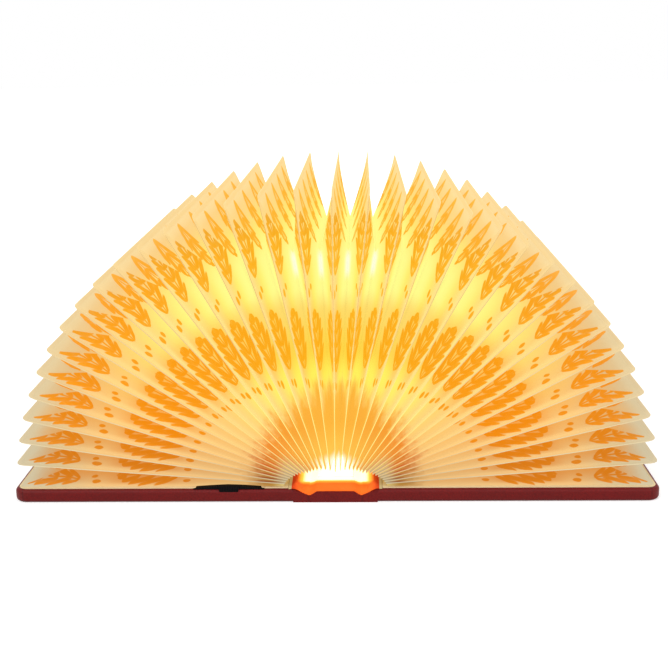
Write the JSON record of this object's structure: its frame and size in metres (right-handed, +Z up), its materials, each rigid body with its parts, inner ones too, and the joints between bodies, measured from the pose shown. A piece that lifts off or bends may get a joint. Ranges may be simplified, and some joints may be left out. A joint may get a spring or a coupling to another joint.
{
  "type": "folding book lamp",
  "caption": "Book-shaped lamp lying open: leather-bound covers hinged on a spine, with a lit fan of pleated paper leaves from cover to cover.",
  "frame": {"origin": "on the table, in the middle of the open book", "axes": "+X to the right across both covers, +Y along the spine away from the reader, +Z up"},
  "size_m": [0.1994, 0.12, 0.0959],
  "materials": {
    "leather": "satin",
    "board": "matte",
    "shade_paper": "matte",
    "endpaper": "matte",
    "liner_cloth": "matte",
    "tray_plastic": "matte",
    "frosted_lens": "satin",
    "led_strip": "satin",
    "led_chip": "gloss",
    "circuit_board": "satin",
    "chip_case": "matte",
    "cell_foil": "satin",
    "lead_insulation": "satin",
    "socket_steel": "satin",
    "indicator_lens": "gloss",
    "magnet_plating": "polished",
    "screw_steel": "satin",
    "tab_ribbon": "matte"
  },
  "bodies": {
    "spine": {"spine_board": "board", "spine_wrap": "leather", "left_hinge_leather": "leather", "right_hinge_leather": "leather", "spine_liner": "liner_cloth", "light_tray": "tray_plastic", "light_diffuser": "frosted_lens", "led_board": "led_strip", "led_emitters": "led_chip", "opening_sensor": "chip_case", "battery_cell": "cell_foil", "battery_leads": "lead_insulation", "charge_board": "circuit_board", "usb_socket": "socket_steel", "indicator_led": "indicator_lens", "module_screws": "screw_steel", "middle_leaf": "shade_paper", "left_pleats": "shade_paper", "right_pleats": "shade_paper"},
    "left_cover": {"left_cover_wrap": "leather", "left_cover_board": "board", "left_endpaper": "endpaper", "left_magnets": "magnet_plating", "pull_tab": "tab_ribbon"},
    "right_cover": {"right_cover_wrap": "leather", "right_cover_board": "board", "right_endpaper": "endpaper", "right_magnets": "magnet_plating"},
    "left_leaf_01": {"left_leaf_01": "shade_paper"},
    "left_leaf_02": {"left_leaf_02": "shade_paper"},
    "left_leaf_03": {"left_leaf_03": "shade_paper"},
    "left_leaf_04": {"left_leaf_04": "shade_paper"},
    "left_leaf_05": {"left_leaf_05": "shade_paper"},
    "left_leaf_06": {"left_leaf_06": "shade_paper"},
    "left_leaf_07": {"left_leaf_07": "shade_paper"},
    "left_leaf_08": {"left_leaf_08": "shade_paper"},
    "left_leaf_09": {"left_leaf_09": "shade_paper"},
    "left_leaf_10": {"left_leaf_10": "shade_paper"},
    "left_leaf_11": {"left_leaf_11": "shade_paper"},
    "left_leaf_12": {"left_leaf_12": "shade_paper"},
    "left_leaf_13": {"left_leaf_13": "shade_paper"},
    "left_leaf_14": {"left_leaf_14": "shade_paper"},
    "left_leaf_15": {"left_leaf_15": "shade_paper"},
    "left_leaf_16": {"left_leaf_16": "shade_paper"},
    "right_leaf_01": {"right_leaf_01": "shade_paper"},
    "right_leaf_02": {"right_leaf_02": "shade_paper"},
    "right_leaf_03": {"right_leaf_03": "shade_paper"},
    "right_leaf_04": {"right_leaf_04": "shade_paper"},
    "right_leaf_05": {"right_leaf_05": "shade_paper"},
    "right_leaf_06": {"right_leaf_06": "shade_paper"},
    "right_leaf_07": {"right_leaf_07": "shade_paper"},
    "right_leaf_08": {"right_leaf_08": "shade_paper"},
    "right_leaf_09": {"right_leaf_09": "shade_paper"},
    "right_leaf_10": {"right_leaf_10": "shade_paper"},
    "right_leaf_11": {"right_leaf_11": "shade_paper"},
    "right_leaf_12": {"right_leaf_12": "shade_paper"},
    "right_leaf_13": {"right_leaf_13": "shade_paper"},
    "right_leaf_14": {"right_leaf_14": "shade_paper"},
    "right_leaf_15": {"right_leaf_15": "shade_paper"},
    "right_leaf_16": {"right_leaf_16": "shade_paper"}
  },
  "joints": [
    {"name": "left_cover_hinge", "type": "hinge", "parent": "spine", "child": "left_cover", "pos_m": [-0.012, 0, 0.0008], "axis": [0, 1, 0], "range_deg": [-97, 90], "deforming": ["left_pleats", "left_hinge_leather", "spine_liner"]},
    {"name": "left_leaf_01_fold", "type": "hinge", "parent": "spine", "child": "left_leaf_01", "pos_m": [-0.012, 0, 0.0008], "axis": [0, 1, 0], "range_deg": [-7.29, 6.8]},
    {"name": "left_leaf_02_fold", "type": "hinge", "parent": "spine", "child": "left_leaf_02", "pos_m": [-0.012, 0, 0.0008], "axis": [0, 1, 0], "range_deg": [-13.86, 12.9]},
    {"name": "left_leaf_03_fold", "type": "hinge", "parent": "spine", "child": "left_leaf_03", "pos_m": [-0.012, 0, 0.0008], "axis": [0, 1, 0], "range_deg": [-20.27, 18.84]},
    {"name": "left_leaf_04_fold", "type": "hinge", "parent": "spine", "child": "left_leaf_04", "pos_m": [-0.012, 0, 0.0008], "axis": [0, 1, 0], "range_deg": [-26.52, 24.64]},
    {"name": "left_leaf_05_fold", "type": "hinge", "parent": "spine", "child": "left_leaf_05", "pos_m": [-0.012, 0, 0.0008], "axis": [0, 1, 0], "range_deg": [-32.64, 30.32]},
    {"name": "left_leaf_06_fold", "type": "hinge", "parent": "spine", "child": "left_leaf_06", "pos_m": [-0.012, 0, 0.0008], "axis": [0, 1, 0], "range_deg": [-38.63, 35.88]},
    {"name": "left_leaf_07_fold", "type": "hinge", "parent": "spine", "child": "left_leaf_07", "pos_m": [-0.012, 0, 0.0008], "axis": [0, 1, 0], "range_deg": [-44.51, 41.33]},
    {"name": "left_leaf_08_fold", "type": "hinge", "parent": "spine", "child": "left_leaf_08", "pos_m": [-0.012, 0, 0.0008], "axis": [0, 1, 0], "range_deg": [-50.26, 46.67]},
    {"name": "left_leaf_09_fold", "type": "hinge", "parent": "spine", "child": "left_leaf_09", "pos_m": [-0.012, 0, 0.0008], "axis": [0, 1, 0], "range_deg": [-55.91, 51.91]},
    {"name": "left_leaf_10_fold", "type": "hinge", "parent": "spine", "child": "left_leaf_10", "pos_m": [-0.012, 0, 0.0008], "axis": [0, 1, 0], "range_deg": [-61.45, 57.05]},
    {"name": "left_leaf_11_fold", "type": "hinge", "parent": "spine", "child": "left_leaf_11", "pos_m": [-0.012, 0, 0.0008], "axis": [0, 1, 0], "range_deg": [-66.89, 62.1]},
    {"name": "left_leaf_12_fold", "type": "hinge", "parent": "spine", "child": "left_leaf_12", "pos_m": [-0.012, 0, 0.0008], "axis": [0, 1, 0], "range_deg": [-72.23, 67.05]},
    {"name": "left_leaf_13_fold", "type": "hinge", "parent": "spine", "child": "left_leaf_13", "pos_m": [-0.012, 0, 0.0008], "axis": [0, 1, 0], "range_deg": [-77.47, 71.92]},
    {"name": "left_leaf_14_fold", "type": "hinge", "parent": "spine", "child": "left_leaf_14", "pos_m": [-0.012, 0, 0.0008], "axis": [0, 1, 0], "range_deg": [-82.62, 76.69]},
    {"name": "left_leaf_15_fold", "type": "hinge", "parent": "spine", "child": "left_leaf_15", "pos_m": [-0.012, 0, 0.0008], "axis": [0, 1, 0], "range_deg": [-87.67, 81.38]},
    {"name": "left_leaf_16_fold", "type": "hinge", "parent": "spine", "child": "left_leaf_16", "pos_m": [-0.012, 0, 0.0008], "axis": [0, 1, 0], "range_deg": [-92.63, 85.98]},
    {"name": "right_cover_hinge", "type": "hinge", "parent": "spine", "child": "right_cover", "pos_m": [0.012, 0, 0.0008], "axis": [0, -1, 0], "range_deg": [-97, 90], "deforming": ["right_pleats", "right_hinge_leather", "spine_liner"]},
    {"name": "right_leaf_01_fold", "type": "hinge", "parent": "spine", "child": "right_leaf_01", "pos_m": [0.012, 0, 0.0008], "axis": [0, -1, 0], "range_deg": [-7.29, 6.8]},
    {"name": "right_leaf_02_fold", "type": "hinge", "parent": "spine", "child": "right_leaf_02", "pos_m": [0.012, 0, 0.0008], "axis": [0, -1, 0], "range_deg": [-13.86, 12.9]},
    {"name": "right_leaf_03_fold", "type": "hinge", "parent": "spine", "child": "right_leaf_03", "pos_m": [0.012, 0, 0.0008], "axis": [0, -1, 0], "range_deg": [-20.27, 18.84]},
    {"name": "right_leaf_04_fold", "type": "hinge", "parent": "spine", "child": "right_leaf_04", "pos_m": [0.012, 0, 0.0008], "axis": [0, -1, 0], "range_deg": [-26.52, 24.64]},
    {"name": "right_leaf_05_fold", "type": "hinge", "parent": "spine", "child": "right_leaf_05", "pos_m": [0.012, 0, 0.0008], "axis": [0, -1, 0], "range_deg": [-32.64, 30.32]},
    {"name": "right_leaf_06_fold", "type": "hinge", "parent": "spine", "child": "right_leaf_06", "pos_m": [0.012, 0, 0.0008], "axis": [0, -1, 0], "range_deg": [-38.63, 35.88]},
    {"name": "right_leaf_07_fold", "type": "hinge", "parent": "spine", "child": "right_leaf_07", "pos_m": [0.012, 0, 0.0008], "axis": [0, -1, 0], "range_deg": [-44.51, 41.33]},
    {"name": "right_leaf_08_fold", "type": "hinge", "parent": "spine", "child": "right_leaf_08", "pos_m": [0.012, 0, 0.0008], "axis": [0, -1, 0], "range_deg": [-50.26, 46.67]},
    {"name": "right_leaf_09_fold", "type": "hinge", "parent": "spine", "child": "right_leaf_09", "pos_m": [0.012, 0, 0.0008], "axis": [0, -1, 0], "range_deg": [-55.91, 51.91]},
    {"name": "right_leaf_10_fold", "type": "hinge", "parent": "spine", "child": "right_leaf_10", "pos_m": [0.012, 0, 0.0008], "axis": [0, -1, 0], "range_deg": [-61.45, 57.05]},
    {"name": "right_leaf_11_fold", "type": "hinge", "parent": "spine", "child": "right_leaf_11", "pos_m": [0.012, 0, 0.0008], "axis": [0, -1, 0], "range_deg": [-66.89, 62.1]},
    {"name": "right_leaf_12_fold", "type": "hinge", "parent": "spine", "child": "right_leaf_12", "pos_m": [0.012, 0, 0.0008], "axis": [0, -1, 0], "range_deg": [-72.23, 67.05]},
    {"name": "right_leaf_13_fold", "type": "hinge", "parent": "spine", "child": "right_leaf_13", "pos_m": [0.012, 0, 0.0008], "axis": [0, -1, 0], "range_deg": [-77.47, 71.92]},
    {"name": "right_leaf_14_fold", "type": "hinge", "parent": "spine", "child": "right_leaf_14", "pos_m": [0.012, 0, 0.0008], "axis": [0, -1, 0], "range_deg": [-82.62, 76.69]},
    {"name": "right_leaf_15_fold", "type": "hinge", "parent": "spine", "child": "right_leaf_15", "pos_m": [0.012, 0, 0.0008], "axis": [0, -1, 0], "range_deg": [-87.67, 81.38]},
    {"name": "right_leaf_16_fold", "type": "hinge", "parent": "spine", "child": "right_leaf_16", "pos_m": [0.012, 0, 0.0008], "axis": [0, -1, 0], "range_deg": [-92.63, 85.98]}
  ],
  "couplings": [
    {"joint": "left_leaf_01_fold", "follows": "left_cover_hinge", "ratio": 0.069984},
    {"joint": "left_leaf_02_fold", "follows": "left_cover_hinge", "ratio": 0.13774},
    {"joint": "left_leaf_03_fold", "follows": "left_cover_hinge", "ratio": 0.20377},
    {"joint": "left_leaf_04_fold", "follows": "left_cover_hinge", "ratio": 0.26826},
    {"joint": "left_leaf_05_fold", "follows": "left_cover_hinge", "ratio": 0.33135},
    {"joint": "left_leaf_06_fold", "follows": "left_cover_hinge", "ratio": 0.39313},
    {"joint": "left_leaf_07_fold", "follows": "left_cover_hinge", "ratio": 0.45368},
    {"joint": "left_leaf_08_fold", "follows": "left_cover_hinge", "ratio": 0.51304},
    {"joint": "left_leaf_09_fold", "follows": "left_cover_hinge", "ratio": 0.57126},
    {"joint": "left_leaf_10_fold", "follows": "left_cover_hinge", "ratio": 0.62839},
    {"joint": "left_leaf_11_fold", "follows": "left_cover_hinge", "ratio": 0.68445},
    {"joint": "left_leaf_12_fold", "follows": "left_cover_hinge", "ratio": 0.73948},
    {"joint": "left_leaf_13_fold", "follows": "left_cover_hinge", "ratio": 0.79351},
    {"joint": "left_leaf_14_fold", "follows": "left_cover_hinge", "ratio": 0.84655},
    {"joint": "left_leaf_15_fold", "follows": "left_cover_hinge", "ratio": 0.89864},
    {"joint": "left_leaf_16_fold", "follows": "left_cover_hinge", "ratio": 0.94978},
    {"joint": "right_leaf_01_fold", "follows": "right_cover_hinge", "ratio": 0.069984},
    {"joint": "right_leaf_02_fold", "follows": "right_cover_hinge", "ratio": 0.13774},
    {"joint": "right_leaf_03_fold", "follows": "right_cover_hinge", "ratio": 0.20377},
    {"joint": "right_leaf_04_fold", "follows": "right_cover_hinge", "ratio": 0.26826},
    {"joint": "right_leaf_05_fold", "follows": "right_cover_hinge", "ratio": 0.33135},
    {"joint": "right_leaf_06_fold", "follows": "right_cover_hinge", "ratio": 0.39313},
    {"joint": "right_leaf_07_fold", "follows": "right_cover_hinge", "ratio": 0.45368},
    {"joint": "right_leaf_08_fold", "follows": "right_cover_hinge", "ratio": 0.51304},
    {"joint": "right_leaf_09_fold", "follows": "right_cover_hinge", "ratio": 0.57126},
    {"joint": "right_leaf_10_fold", "follows": "right_cover_hinge", "ratio": 0.62839},
    {"joint": "right_leaf_11_fold", "follows": "right_cover_hinge", "ratio": 0.68445},
    {"joint": "right_leaf_12_fold", "follows": "right_cover_hinge", "ratio": 0.73948},
    {"joint": "right_leaf_13_fold", "follows": "right_cover_hinge", "ratio": 0.79351},
    {"joint": "right_leaf_14_fold", "follows": "right_cover_hinge", "ratio": 0.84655},
    {"joint": "right_leaf_15_fold", "follows": "right_cover_hinge", "ratio": 0.89864},
    {"joint": "right_leaf_16_fold", "follows": "right_cover_hinge", "ratio": 0.94978}
  ]
}
